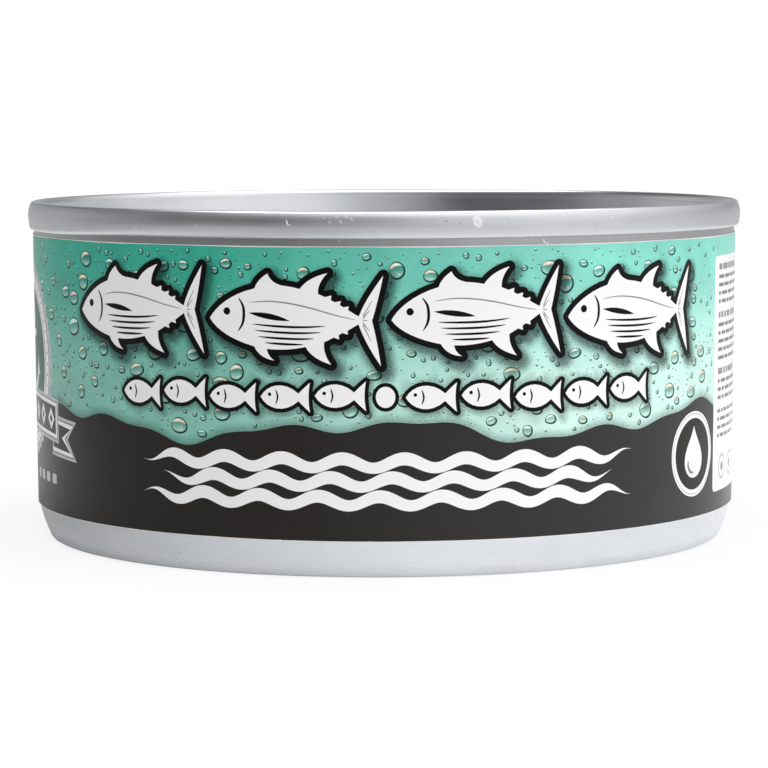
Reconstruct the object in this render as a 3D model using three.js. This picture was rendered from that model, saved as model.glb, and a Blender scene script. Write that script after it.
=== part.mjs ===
// A low round fish can, shut: a drawn metal body, a seamed-on end and a wrapped paper label.
// Millimetres, +Z up. The origin is the middle of the base, on the surface the can stands on.
// Every piece is a body of revolution about Z, turned from a half profile of (radius, height).
// The label's front faces -Y.

import * as THREE from "three";

// ---- driving dimensions -------------------------------------------------------------------
const HEIGHT = 40.8; // base to the crest of the seam
const SEGMENTS = 72; // facets round the can; a multiple of 4, so the widest points lie on X and Y
const GAP = 0.05; // clearance between neighbouring pieces

// double seam and end
const SEAM_RADIUS = 43.65; // widest point of the seam, 87.3 mm across
const SEAM_CREST_RADIUS = 42.98; // where the seam is highest
const SEAM_FACE_TOP = 1.15; // depth below the crest where the outer face is at full radius
const SEAM_FACE_BOTTOM = 2.05; // depth below the crest where the face starts to turn in
const SEAM_LENGTH = 3.03; // depth of the seam's lower edge
const SEAM_HEM_RADIUS = 43.2; // radius of that lower edge
const CHUCK_TOP_RADIUS = 42.3; // inner wall just under the crest
const CHUCK_FOOT_RADIUS = 41.95; // inner wall where it meets the countersink
const END_THICKNESS = 0.25; // plate of the end
const COUNTERSINK_DEPTH = 4.55; // lowest line of the groove round the panel
const COUNTERSINK_FILLET = 0.55;
const PANEL_DEPTH = 4.2; // the panel, below the crest
const PANEL_RADIUS = 40.6; // outer edge of the flat panel
const END_BEADS = [
  // expansion rings pressed up into the end: middle radius, half width, height
  { radius: 35.6, half: 1.5, rise: 0.45 },
  { radius: 29.6, half: 1.5, rise: 0.45 },
  { radius: 20.0, half: 1.7, rise: 0.35 },
];

// drawn body
const NECK_RADIUS = 42.92; // body just under the seam
const WALL_FOOT_RADIUS = 42.66; // body at the start of the bottom curve
const CHIME_RADIUS = 15.8; // large radius of the bottom curve, in section
const CHIME_START = 9.8; // degrees from vertical where the curve leaves the wall
const CHIME_END = 25.5; // degrees from vertical where it meets the foot
const FOOT_FILLET = 0.53; // small radius under the foot
const FOOT_WIDTH = 1.1; // flat ring the can stands on
const BASE_PANEL_RISE = 1.3; // recess of the bottom plate
const BASE_PANEL_RADIUS = 38.2;
const BASE_BEADS = [
  { radius: 33.8, half: 1.6, rise: 0.55 },
  { radius: 26.4, half: 1.6, rise: 0.45 },
];
const WALL_THICKNESS = 0.42; // stub of wall that stands up beside the end

// label
const LABEL_TOP = 36.81; // upper edge, above the base
const LABEL_BOTTOM = 4.26; // lower edge
const LABEL_THICKNESS = 0.09;

// ---- helpers ------------------------------------------------------------------------------
const rad = THREE.MathUtils.degToRad;
const at = (r, z) => new THREE.Vector2(r, z);

// Points of an arc round (cr, cz), from angle a0 to a1 in degrees, 0 pointing away from the axis.
function arc(cr, cz, radius, a0, a1, steps) {
  const points = [];
  for (let i = 0; i <= steps; i++) {
    const a = rad(a0 + ((a1 - a0) * i) / steps);
    points.push(at(cr + radius * Math.cos(a), cz + radius * Math.sin(a)));
  }
  return points;
}

// A pressed ring, from its inner edge to its outer one, on a plate at height z.
function bead({ radius, half, rise }, z, steps = 4) {
  const points = [];
  for (let i = 0; i <= steps; i++) {
    const t = i / steps;
    points.push(
      at(
        radius - half + 2 * half * t,
        z + rise * 0.5 * (1 - Math.cos(2 * Math.PI * t)),
      ),
    );
  }
  return points;
}

// A solid of revolution about Z. The half profile runs counter-clockwise: out, up and back in.
function turned(name, profile, material) {
  const geometry = new THREE.LatheGeometry(profile, SEGMENTS);
  geometry.rotateX(Math.PI / 2);
  const mesh = new THREE.Mesh(geometry, material);
  mesh.name = name;
  return mesh;
}

// Radius of the body's straight wall at height z.
function wallRadius(z) {
  const top = HEIGHT - SEAM_LENGTH;
  const t = THREE.MathUtils.clamp((z - WALL_FOOT_Z) / (top - WALL_FOOT_Z), 0, 1);
  return THREE.MathUtils.lerp(WALL_FOOT_RADIUS, NECK_RADIUS, t);
}

// ---- bottom curve, worked out from the foot up ----------------------------------------------
// The foot's fillet is tangent to the base plane and to the large curve; the large curve runs
// up to the wall.
const chimeCentreR = WALL_FOOT_RADIUS - CHIME_RADIUS * Math.cos(rad(CHIME_START));
const footCentreR =
  chimeCentreR + (CHIME_RADIUS - FOOT_FILLET) * Math.cos(rad(CHIME_END));
const footCentreZ = FOOT_FILLET;
const chimeCentreZ =
  footCentreZ + (CHIME_RADIUS - FOOT_FILLET) * Math.sin(rad(CHIME_END));
const WALL_FOOT_Z = chimeCentreZ - CHIME_RADIUS * Math.sin(rad(CHIME_START));

// ---- materials ------------------------------------------------------------------------------
const bodyPlate = new THREE.MeshStandardMaterial({
  color: 0xc3c7cc,
  roughness: 0.32,
  metalness: 1,
});
const endPlate = new THREE.MeshStandardMaterial({
  color: 0xc8cbd0,
  roughness: 0.28,
  metalness: 1,
});
const labelPaper = new THREE.MeshStandardMaterial({
  color: 0x52bfa6,
  roughness: 0.4,
  metalness: 0,
});

// ---- body -----------------------------------------------------------------------------------
const floorOfEnd = HEIGHT - COUNTERSINK_DEPTH - END_THICKNESS;
const bodyTop = floorOfEnd - GAP; // the filled can is solid up to just under the end
const stubTop = HEIGHT - SEAM_LENGTH - GAP;
const footInner = footCentreR - FOOT_WIDTH;

const bodyProfile = [
  at(0, BASE_PANEL_RISE),
  ...[...BASE_BEADS].reverse().flatMap((b) => bead(b, BASE_PANEL_RISE)),
  at(BASE_PANEL_RADIUS, BASE_PANEL_RISE),
  ...arc(footInner - 0.75, 0.55, 0.55, 40, 90, 2).reverse(),
  at(footInner, 0),
  ...arc(footCentreR, footCentreZ, FOOT_FILLET, -90, -CHIME_END, 3),
  ...arc(
    chimeCentreR,
    chimeCentreZ,
    CHIME_RADIUS,
    -CHIME_END,
    -CHIME_START,
    5,
  ).slice(1),
  at(NECK_RADIUS, stubTop),
  at(NECK_RADIUS - WALL_THICKNESS, stubTop),
  at(NECK_RADIUS - WALL_THICKNESS, bodyTop),
  at(0, bodyTop),
];

// ---- end with its seam ------------------------------------------------------------------------
const panelZ = HEIGHT - PANEL_DEPTH;
const grooveZ = HEIGHT - COUNTERSINK_DEPTH;
const grooveR = CHUCK_FOOT_RADIUS - COUNTERSINK_FILLET; // middle of the countersink groove
const chuckOuter = NECK_RADIUS - WALL_THICKNESS - GAP; // back of the inner wall

const endProfile = [
  // underside of the plate, out to the seam
  at(0, panelZ - END_THICKNESS),
  at(PANEL_RADIUS - 0.1, panelZ - END_THICKNESS),
  at(grooveR, grooveZ - END_THICKNESS),
  at(chuckOuter - 0.35, grooveZ - END_THICKNESS + 0.25),
  at(chuckOuter, HEIGHT - SEAM_LENGTH - 0.2),
  at(chuckOuter, HEIGHT - SEAM_LENGTH),
  // lower edge and outer face of the seam
  at(SEAM_HEM_RADIUS - 0.12, HEIGHT - SEAM_LENGTH),
  at(SEAM_HEM_RADIUS + 0.12, HEIGHT - SEAM_LENGTH + 0.12),
  at(SEAM_RADIUS - 0.08, HEIGHT - SEAM_FACE_BOTTOM - 0.35),
  at(SEAM_RADIUS, HEIGHT - SEAM_FACE_BOTTOM),
  at(SEAM_RADIUS, HEIGHT - SEAM_FACE_TOP),
  at(SEAM_RADIUS - 0.09, HEIGHT - 0.65),
  at(SEAM_RADIUS - 0.3, HEIGHT - 0.22),
  at(SEAM_CREST_RADIUS, HEIGHT),
  at(CHUCK_TOP_RADIUS + 0.25, HEIGHT - 0.12),
  at(CHUCK_TOP_RADIUS + 0.05, HEIGHT - 0.42),
  at(CHUCK_TOP_RADIUS, HEIGHT - 0.9),
  // inner wall, groove and panel
  at(CHUCK_FOOT_RADIUS, grooveZ + COUNTERSINK_FILLET),
  ...arc(
    grooveR,
    grooveZ + COUNTERSINK_FILLET,
    COUNTERSINK_FILLET,
    0,
    -90,
    3,
  ).slice(1),
  at(PANEL_RADIUS, panelZ),
  ...END_BEADS.flatMap((b) => bead(b, panelZ).reverse()),
  at(0, panelZ),
];

// ---- label --------------------------------------------------------------------------------------
const labelProfile = (() => {
  const inner = (z) => wallRadius(z) + GAP;
  const bottom = at(inner(LABEL_BOTTOM), LABEL_BOTTOM);
  return [
    bottom,
    at(inner(LABEL_BOTTOM) + LABEL_THICKNESS, LABEL_BOTTOM),
    at(inner(LABEL_TOP) + LABEL_THICKNESS, LABEL_TOP),
    at(inner(LABEL_TOP), LABEL_TOP),
    bottom.clone(),
  ];
})();

// ---- the can --------------------------------------------------------------------------------------
const can = new THREE.Group();
can.add(
  turned("can_body", bodyProfile, bodyPlate),
  turned("lid", endProfile, endPlate),
  turned("label", labelProfile, labelPaper),
);

export default can;
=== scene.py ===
# Looks for a low round fish can: turned metal, a rolled rim and a printed paper label.
# Lengths are worked out in millimetres and written in metres. The label's print is cut into the
# paper's own mesh: fields of colour and plain shapes, drawn here by functions from named sizes.
import math
import random

import bpy
import numpy as np
from mathutils import Matrix, Vector
from mathutils.geometry import delaunay_2d_cdt


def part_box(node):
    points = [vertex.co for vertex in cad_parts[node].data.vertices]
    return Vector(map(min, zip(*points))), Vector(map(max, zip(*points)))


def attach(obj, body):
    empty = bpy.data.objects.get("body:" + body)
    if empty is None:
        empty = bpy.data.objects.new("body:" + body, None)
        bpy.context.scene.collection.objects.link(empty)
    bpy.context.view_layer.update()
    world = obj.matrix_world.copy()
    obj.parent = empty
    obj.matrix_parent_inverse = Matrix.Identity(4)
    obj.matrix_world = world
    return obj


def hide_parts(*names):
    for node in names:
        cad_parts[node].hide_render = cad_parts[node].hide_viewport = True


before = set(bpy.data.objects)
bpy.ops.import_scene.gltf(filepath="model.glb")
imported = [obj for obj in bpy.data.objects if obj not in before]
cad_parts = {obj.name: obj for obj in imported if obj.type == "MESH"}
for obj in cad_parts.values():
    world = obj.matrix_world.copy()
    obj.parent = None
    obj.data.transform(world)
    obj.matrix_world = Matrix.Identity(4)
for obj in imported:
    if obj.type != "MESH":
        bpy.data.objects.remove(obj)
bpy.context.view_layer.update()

MM = 0.001
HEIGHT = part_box("lid")[1].z / MM  # crest of the seam above the base
RND = random.Random(20261125)
NRND = np.random.default_rng(307)

# =========================================================================== small helpers
def lerp(a, b, t):
    return a + (b - a) * t


def smooth(t):
    t = np.clip(t, 0.0, 1.0)
    return t * t * (3 - 2 * t)


def arc(cr, cz, r, a0, a1, n):
    """Points of an arc in the half profile, angles in degrees, 0 away from the axis."""
    return [
        (cr + r * math.cos(math.radians(lerp(a0, a1, i / n))),
         cz + r * math.sin(math.radians(lerp(a0, a1, i / n))))
        for i in range(n + 1)
    ]


def spline(points, per=8):
    """Catmull-Rom curve through the points, spaced by chord, which doesn't overshoot much."""
    p = np.array(points, float)
    p = np.vstack([2 * p[0] - p[1], p, 2 * p[-1] - p[-2]])
    out = []
    for i in range(1, len(p) - 2):
        p0, p1, p2, p3 = p[i - 1 : i + 3]
        d = [max(1e-6, np.linalg.norm(b - a) ** 0.5) for a, b in ((p0, p1), (p1, p2), (p2, p3))]
        t0, t1 = 0.0, d[0]
        t2, t3 = t1 + d[1], t1 + d[1] + d[2]
        for k in range(per):
            t = t1 + (t2 - t1) * k / per
            a1 = (t1 - t) / (t1 - t0) * p0 + (t - t0) / (t1 - t0) * p1
            a2 = (t2 - t) / (t2 - t1) * p1 + (t - t1) / (t2 - t1) * p2
            a3 = (t3 - t) / (t3 - t2) * p2 + (t - t2) / (t3 - t2) * p3
            b1 = (t2 - t) / (t2 - t0) * a1 + (t - t0) / (t2 - t0) * a2
            b2 = (t3 - t) / (t3 - t1) * a2 + (t - t1) / (t3 - t1) * a3
            out.append(tuple((t2 - t) / (t2 - t1) * b1 + (t - t1) / (t2 - t1) * b2))
    out.append(tuple(p[-2]))
    return out


def ring_bead(radius, half, rise, z, n=14):
    """A pressed ring, from its inner edge to its outer one."""
    return [
        (radius - half + 2 * half * i / n, z + rise * 0.5 * (1 - math.cos(2 * math.pi * i / n)))
        for i in range(n + 1)
    ]


def lathe(name, profile, segments=320, wobble=None):
    """A closed solid of revolution. The half profile (mm) runs out, up and back in; ends on the
    axis become single vertices, and a profile that closes on itself makes a ring."""
    prof = [profile[0]]
    for p in profile[1:]:
        if math.hypot(p[0] - prof[-1][0], p[1] - prof[-1][1]) > 1e-4:
            prof.append(p)
    ring = math.hypot(prof[0][0] - prof[-1][0], prof[0][1] - prof[-1][1]) < 1e-4
    if ring:
        prof = prof[:-1]
    verts, rows = [], []
    for r, z in prof:
        if r < 1e-6:
            rows.append([len(verts)] * segments)
            verts.append((0.0, 0.0, z * MM))
        else:
            row = []
            for s in range(segments):
                a = 2 * math.pi * s / segments
                dr, dz = wobble(a, r, z) if wobble else (0.0, 0.0)
                row.append(len(verts))
                verts.append(
                    ((r + dr) * math.sin(a) * MM, -(r + dr) * math.cos(a) * MM, (z + dz) * MM)
                )
            rows.append(row)
    faces = []
    count = len(rows)
    for i in range(count if ring else count - 1):
        a, b = rows[i], rows[(i + 1) % count]
        for s in range(segments):
            t = (s + 1) % segments
            quad = [a[s], a[t], b[t], b[s]]
            face = []
            for v in quad:
                if v not in face:
                    face.append(v)
            if len(face) > 2:
                faces.append(face)
    mesh = bpy.data.meshes.new(name)
    mesh.from_pydata(verts, [], faces)
    mesh.validate()
    mesh.update()
    obj = bpy.data.objects.new(name, mesh)
    bpy.context.scene.collection.objects.link(obj)
    mesh.polygons.foreach_set("use_smooth", [True] * len(mesh.polygons))
    return obj


# =========================================================================== profiles (mm)
GAP = 0.05
NECK_R, WALL_FOOT_R = 42.92, 42.66
CHIME_R, CHIME_A0, CHIME_A1, FOOT_R = 15.8, 9.8, 25.5, 0.53
FOOT_WIDTH, BASE_RISE, BASE_R = 1.1, 1.3, 38.2
SEAM_LENGTH = 3.03
LABEL_TOP, LABEL_BOTTOM, LABEL_T = 36.93, 4.22, 0.09

chime_cr = WALL_FOOT_R - CHIME_R * math.cos(math.radians(CHIME_A0))
foot_cr = chime_cr + (CHIME_R - FOOT_R) * math.cos(math.radians(CHIME_A1))
chime_cz = FOOT_R + (CHIME_R - FOOT_R) * math.sin(math.radians(CHIME_A1))
WALL_FOOT_Z = chime_cz - CHIME_R * math.sin(math.radians(CHIME_A0))
foot_inner = foot_cr - FOOT_WIDTH


def wall_radius(z):
    t = np.clip((z - WALL_FOOT_Z) / (HEIGHT - SEAM_LENGTH - WALL_FOOT_Z), 0, 1)
    return WALL_FOOT_R + (NECK_R - WALL_FOOT_R) * t


# ---- body: recessed base plate, foot, bottom curve, wall, neck
body_profile = (
    [(0, BASE_RISE + 0.35), (14.0, BASE_RISE + 0.35)]
    + spline([(14.6, BASE_RISE + 0.34), (15.6, BASE_RISE + 0.17), (16.4, BASE_RISE + 0.02)], 6)
    + [(17.2, BASE_RISE)]
    + ring_bead(26.4, 1.6, 0.45, BASE_RISE)
    + ring_bead(33.8, 1.6, 0.55, BASE_RISE)
    + spline(
        [(BASE_R - 0.6, BASE_RISE), (BASE_R, BASE_RISE - 0.03), (BASE_R + 0.55, BASE_RISE - 0.3),
         (foot_inner - 0.55, 0.26), (foot_inner - 0.15, 0.03), (foot_inner + 0.2, 0.0)], 6)
    + arc(foot_cr, FOOT_R, FOOT_R, -90, -CHIME_A1, 10)
    + arc(chime_cr, chime_cz, CHIME_R, -CHIME_A1, -CHIME_A0, 22)[1:]
    + [(float(wall_radius(z)), z) for z in np.linspace(WALL_FOOT_Z + 0.3, LABEL_TOP - 0.35, 26)]
    + spline([(NECK_R - 0.004, LABEL_TOP - 0.2), (NECK_R - 0.008, LABEL_TOP + 0.02), (NECK_R - 0.014, LABEL_TOP + 0.3),
              (NECK_R - 0.025, LABEL_TOP + 0.65), (NECK_R - 0.035, HEIGHT - 3.0)], 5)
    + [(NECK_R - 0.45, HEIGHT - 3.0), (NECK_R - 0.47, HEIGHT - 4.9), (0, HEIGHT - 4.9)]
)

# ---- end: panel with its beads, countersink, inner wall, rolled seam
PANEL_Z = HEIGHT - 4.2
GROOVE_Z = HEIGHT - 4.55
seam_outer = spline(
    [
        (42.62, HEIGHT - 3.03),
        (42.95, HEIGHT - 3.07),
        (43.2, HEIGHT - 3.05),
        (43.37, HEIGHT - 2.96),
        (43.48, HEIGHT - 2.78),
        (43.55, HEIGHT - 2.48),
        (43.6, HEIGHT - 2.1),
        (43.63, HEIGHT - 1.7),
        (43.615, HEIGHT - 1.35),
        (43.58, HEIGHT - 1.06),
        (43.525, HEIGHT - 0.8),
        (43.455, HEIGHT - 0.57),
        (43.38, HEIGHT - 0.38),
        (43.32, HEIGHT - 0.255),
        (43.26, HEIGHT - 0.16),
        (43.18, HEIGHT - 0.075),
        (43.07, HEIGHT - 0.025),
        (42.9, HEIGHT - 0.005),
        (42.72, HEIGHT - 0.03),
        (42.52, HEIGHT - 0.2),
        (42.37, HEIGHT - 0.55),
        (42.29, HEIGHT - 1.2),
        (42.15, HEIGHT - 2.3),
        (42.02, HEIGHT - 3.4),
        (41.93, HEIGHT - 3.95),
        (41.74, HEIGHT - 4.38),
        (41.4, HEIGHT - 4.55),
        (41.06, HEIGHT - 4.45),
        (40.75, HEIGHT - 4.26),
        (40.3, HEIGHT - 4.2),
    ],
    7,
)
end_profile = (
    [(0, PANEL_Z - 0.25), (40.3, PANEL_Z - 0.25), (41.4, GROOVE_Z - 0.24), (42.05, GROOVE_Z + 0.05),
     (42.3, HEIGHT - SEAM_LENGTH - 0.25)]
    + seam_outer
    + [p for r, h, k in ((35.6, 1.5, 0.45), (29.6, 1.5, 0.45), (20.0, 1.7, 0.35))
       for p in reversed(ring_bead(r, h, k, PANEL_Z))]
    + [(10.0, PANEL_Z), (0, PANEL_Z)]
)


def seam_wobble(a, r, z):
    """The roll of a real seam is a little uneven round the can, and its hem droops at one side."""
    if r < 42.55 or z > HEIGHT - 0.3:
        return 0.0, 0.0
    w = math.sin(3 * a + 0.6) * 0.5 + math.sin(7 * a + 2.1) * 0.3 + math.sin(17 * a + 4.0) * 0.2
    deg = math.degrees(a) - (360 if a > math.pi else 0)
    droop = smooth((deg + 112) / 22) * smooth((-38 - deg) / 26)
    hem = smooth((HEIGHT - 1.9 - z) / 1.3)
    dz = -hem * (0.34 * droop + 0.012 * math.sin(5 * a + 1.0) + 0.008 * math.sin(11 * a))
    return (-0.01 * (1 + w) if r > 42.9 else 0.0), float(dz)


body = lathe("body_shell", body_profile, 320)
end = lathe("end_and_seam", end_profile, 320, seam_wobble)

# =========================================================================== label print
LABEL_H = LABEL_TOP - LABEL_BOTTOM
RL = 43.0  # radius at which the label is unrolled
ROUND = 2 * math.pi * RL
U1 = math.radians(131) * RL  # where the outer end of the paper lies
FLAP = 7.0
U0 = U1 - ROUND - FLAP  # the hidden start, under the flap
FRONTS = (0.0, -121.0)  # middles of the two like faces


def poly_area(p):
    x, y = np.array(p).T
    return 0.5 * float(np.sum(x * np.roll(y, -1) - np.roll(x, -1) * y))


def path(start, steps, n=10):
    """A closed outline: ('L', x, y), ('Q', cx, cy, x, y) or ('C', c1x, c1y, c2x, c2y, x, y)."""
    pts = [start]
    for s in steps:
        x0, y0 = pts[-1]
        if s[0] == "L":
            pts.append(s[1:])
        elif s[0] == "Q":
            cx, cy, x, y = s[1:]
            for i in range(1, n + 1):
                t = i / n
                pts.append(((1 - t) ** 2 * x0 + 2 * t * (1 - t) * cx + t * t * x,
                            (1 - t) ** 2 * y0 + 2 * t * (1 - t) * cy + t * t * y))
        else:
            ax, ay, bx, by, x, y = s[1:]
            for i in range(1, n + 1):
                t = i / n
                k = (1 - t) ** 3, 3 * t * (1 - t) ** 2, 3 * t * t * (1 - t), t**3
                pts.append((k[0] * x0 + k[1] * ax + k[2] * bx + k[3] * x,
                            k[0] * y0 + k[1] * ay + k[2] * by + k[3] * y))
    if math.hypot(pts[0][0] - pts[-1][0], pts[0][1] - pts[-1][1]) < 1e-6:
        pts.pop()
    return pts if poly_area(pts) > 0 else pts[::-1]


def ellipse(cx, cy, rx, ry, n=24, turn=0.0, wave=0.0, seed=0.0):
    c, s = math.cos(turn), math.sin(turn)
    out = []
    for i in range(n):
        a = 2 * math.pi * i / n
        k = 1 + wave * math.sin(2 * a + seed) + 0.6 * wave * math.sin(3 * a + 1.7 * seed)
        x, y = rx * k * math.cos(a), ry * k * math.sin(a)
        out.append((cx + c * x - s * y, cy + s * x + c * y))
    return out


def box_shape(x0, y0, x1, y1, r=0.0, n=5):
    if r <= 0:
        return [(x0, y0), (x1, y0), (x1, y1), (x0, y1)]
    out = []
    for cx, cy, a in ((x1 - r, y0 + r, -90), (x1 - r, y1 - r, 0), (x0 + r, y1 - r, 90), (x0 + r, y0 + r, 180)):
        out += [(cx + r * math.cos(math.radians(a + 90 * i / n)), cy + r * math.sin(math.radians(a + 90 * i / n)))
                for i in range(n + 1)]
    return out


def stroke(points, half):
    """Outline of a line with a half width at each point; the ends are round."""
    p = np.array(points, float)
    h = np.full(len(p), half) if np.isscalar(half) else np.array(half, float)
    d = np.gradient(p, axis=0)
    d /= np.linalg.norm(d, axis=1)[:, None] + 1e-12
    n = np.c_[-d[:, 1], d[:, 0]]
    left, right = p + n * h[:, None], p - n * h[:, None]
    out = [tuple(q) for q in right]

    def cap(centre, direction, radius):
        a = math.atan2(direction[1], direction[0])
        return [(centre[0] + radius * math.cos(a + t), centre[1] + radius * math.sin(a + t))
                for t in np.linspace(-math.pi / 2, math.pi / 2, 7)[1:-1]]

    if h[-1] > 0.03:
        out += cap(p[-1], d[-1], h[-1])
    out += [tuple(q) for q in left[::-1]]
    if h[0] > 0.03:
        out += cap(p[0], -d[0], h[0])
    keep = [out[0]]
    for q in out[1:]:
        if math.hypot(q[0] - keep[-1][0], q[1] - keep[-1][1]) > 1e-3:
            keep.append(q)
    return keep


def moved(shape, x, y, sx=1.0, sy=1.0, turn=0.0):
    c, s = math.cos(turn), math.sin(turn)
    pts = [(x + c * px * sx - s * py * sy, y + s * px * sx + c * py * sy) for px, py in shape]
    return pts if poly_area(pts) > 0 else pts[::-1]


class Field:
    """Signed distance to an outline on a grid, for the even borders and the soft shadow."""

    def __init__(self, shapes, margin, pitch):
        allp = np.vstack([np.array(s) for s in shapes])
        self.lo = allp.min(0) - margin
        hi = allp.max(0) + margin
        self.pitch = pitch
        nx, ny = (np.ceil((hi - self.lo) / pitch).astype(int) + 1)
        self.x = self.lo[0] + np.arange(nx) * pitch
        self.y = self.lo[1] + np.arange(ny) * pitch
        X, Y = np.meshgrid(self.x, self.y, indexing="ij")
        P = np.c_[X.ravel(), Y.ravel()]
        best = np.full(len(P), 1e9)
        inside = np.zeros(len(P), bool)
        for s in shapes:
            a = np.array(s)
            b = np.roll(a, -1, axis=0)
            ins = np.zeros(len(P), bool)
            for (ax, ay), (bx, by) in zip(a, b):
                ex, ey = bx - ax, by - ay
                wx, wy = P[:, 0] - ax, P[:, 1] - ay
                t = np.clip((wx * ex + wy * ey) / (ex * ex + ey * ey + 1e-18), 0, 1)
                best = np.minimum(best, np.hypot(wx - t * ex, wy - t * ey))
                cross = (ay > P[:, 1]) != (by > P[:, 1])
                if ey:
                    ins ^= cross & (P[:, 0] < ax + ex * (P[:, 1] - ay) / ey)
            inside |= ins
        self.d = np.where(inside, -best, best).reshape(nx, ny)

    def at(self, x, y):
        fx = np.clip((np.asarray(x) - self.lo[0]) / self.pitch, 0, self.d.shape[0] - 1.001)
        fy = np.clip((np.asarray(y) - self.lo[1]) / self.pitch, 0, self.d.shape[1] - 1.001)
        i, j = fx.astype(int), fy.astype(int)
        a, b = fx - i, fy - j
        d = self.d
        return (d[i, j] * (1 - a) * (1 - b) + d[i + 1, j] * a * (1 - b)
                + d[i, j + 1] * (1 - a) * b + d[i + 1, j + 1] * a * b)

    def contour(self, level, tol=0.008):
        """Closed lines where the distance is level, by marching squares."""
        d = self.d - level
        nx, ny = d.shape
        nxt = {}
        signs = d > 0
        cells = np.argwhere(
            ~((signs[:-1, :-1] == signs[1:, :-1]) & (signs[1:, :-1] == signs[1:, 1:]) & (signs[1:, 1:] == signs[:-1, 1:]))
        )

        def cut(i0, j0, i1, j1):
            if (i1, j1) < (i0, j0):
                i0, j0, i1, j1 = i1, j1, i0, j0
            t = d[i0, j0] / (d[i0, j0] - d[i1, j1])
            return (i0, j0, i1, j1), (self.x[i0] + (self.x[i1] - self.x[i0]) * t,
                                      self.y[j0] + (self.y[j1] - self.y[j0]) * t)

        where = {}
        for i, j in cells:
            corner = [(i, j), (i + 1, j), (i + 1, j + 1), (i, j + 1)]
            hits = []
            for k in range(4):
                a, b = corner[k], corner[(k + 1) % 4]
                if signs[a] != signs[b]:
                    key, pt = cut(*a, *b)
                    where[key] = pt
                    hits.append((key, bool(signs[a])))
            # inside (not positive) stays on the left
            for k in range(0, len(hits), 2):
                (ka, sa), (kb, _) = hits[k], hits[(k + 1) % len(hits)]
                if sa:
                    nxt.setdefault(ka, kb)
                else:
                    nxt.setdefault(kb, ka)
        loops, seen = [], set()
        for start in list(nxt):
            if start in seen:
                continue
            loop, k = [], start
            while k in nxt and k not in seen:
                seen.add(k)
                loop.append(where[k])
                k = nxt[k]
            if len(loop) > 8:
                loops.append(thin(loop, tol))
        return loops


def thin(loop, tol):
    """Drops the points of a closed line that lie within tol of the line without them."""
    p = np.array(loop)
    keep = np.zeros(len(p), bool)
    far = int(np.argmax(np.hypot(*(p - p[0]).T)))
    keep[[0, far]] = True
    stack = [(0, far), (far, len(p))]
    while stack:
        a, b = stack.pop()
        if b - a < 2:
            continue
        A, B = p[a], p[b % len(p)]
        seg = B - A
        q = p[a + 1 : b]
        L = np.hypot(*seg) + 1e-12
        dist = np.abs(seg[0] * (q[:, 1] - A[1]) - seg[1] * (q[:, 0] - A[0])) / L
        k = int(np.argmax(dist))
        if dist[k] > tol or L > 1.2 and b - a > 12:
            k = k if dist[k] > tol else (b - a) // 2 - 1
            keep[a + 1 + k] = True
            stack += [(a, a + 1 + k), (a + 1 + k, b)]
    return [tuple(v) for v in p[keep]]


# ---- the big fish: a plain tuna's outline, 19.7 mm long, facing left
BIG = path(
    (-9.85, -0.45),
    [
        ("C", -9.2, 0.75, -7.3, 2.35, -4.5, 3.05),
        ("Q", -4.1, 4.1, -3.0, 4.75),
        ("Q", -2.6, 3.75, -1.3, 3.5),
        ("Q", -0.2, 3.42, 0.7, 3.2),
        ("Q", 1.6, 4.5, 3.75, 5.05),
        ("Q", 2.65, 3.85, 2.75, 2.75),
        ("L", 3.55, 2.42), ("L", 4.25, 2.62), ("L", 4.2, 2.1),
        ("L", 4.65, 1.9), ("L", 5.3, 2.05), ("L", 5.2, 1.6),
        ("L", 5.6, 1.38), ("L", 6.2, 1.5), ("L", 6.1, 1.1),
        ("Q", 6.75, 0.68, 7.3, 0.42),
        ("Q", 7.95, 2.3, 9.85, 4.95),
        ("Q", 9.35, 2.1, 8.75, 0.0),
        ("Q", 9.35, -2.1, 9.85, -4.95),
        ("Q", 7.95, -2.3, 7.3, -0.42),
        ("Q", 6.75, -0.75, 6.1, -1.18),
        ("L", 6.15, -1.6), ("L", 5.55, -1.42), ("L", 5.15, -1.68),
        ("L", 5.2, -2.15), ("L", 4.6, -1.95),
        ("Q", 4.1, -2.25, 3.55, -2.5),
        ("Q", 3.45, -3.8, 4.4, -4.95),
        ("Q", 2.2, -4.35, 1.5, -3.1),
        ("C", 0.0, -3.5, -1.6, -3.6, -2.9, -3.5),
        ("Q", -2.8, -4.3, -2.0, -4.75),
        ("Q", -3.7, -4.6, -4.4, -3.3),
        ("C", -6.9, -2.75, -9.0, -1.75, -9.85, -0.45),
    ],
    8,
)
BIG_BORDER = 0.66
big_field = Field([BIG], 3.4, 0.11)
big_border = max(big_field.contour(BIG_BORDER), key=len)
SHADE_DX, SHADE_DY, SHADE_REACH = 0.4, -0.6, 1.45
shade_levels = [big_field.contour(v) for v in (0.85, 1.25, 1.7)]


def line(points, half, per=4):
    """A stroke along a smooth curve, thickest in the middle."""
    q = spline(points, per)
    t = np.linspace(0, 1, len(q))
    return stroke(q, 0.025 + half * np.sin(math.pi * t) ** 0.6)


# what is drawn on the big fish: eye, gill, fin and the stripes of the belly, in black
big_marks = [
    ellipse(-7.75, 0.42, 0.42, 0.42, 14),
    line([(-6.35, 1.95), (-5.82, 1.1), (-5.68, 0.15), (-5.82, -0.85), (-6.35, -1.75)], 0.14),
    path((-5.15, 0.35), [("Q", -2.6, 0.75, -0.3, -0.35), ("Q", -2.9, -0.5, -5.15, 0.35)], 7),
]
for level, a, b in ((-1.0, -4.6, 3.6), (-1.65, -4.3, 3.1), (-2.3, -3.9, 2.4), (-2.9, -3.1, 1.2)):
    xs = np.linspace(a, b, 12)
    ys = level + 0.62 * ((xs + 0.5) / 5) ** 2 * np.where(xs > 0, 0.6, 0.35)
    big_marks.append(stroke(list(zip(xs, ys)), 0.03 + 0.1 * np.sin((xs - a) / (b - a) * math.pi) ** 0.6))
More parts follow.
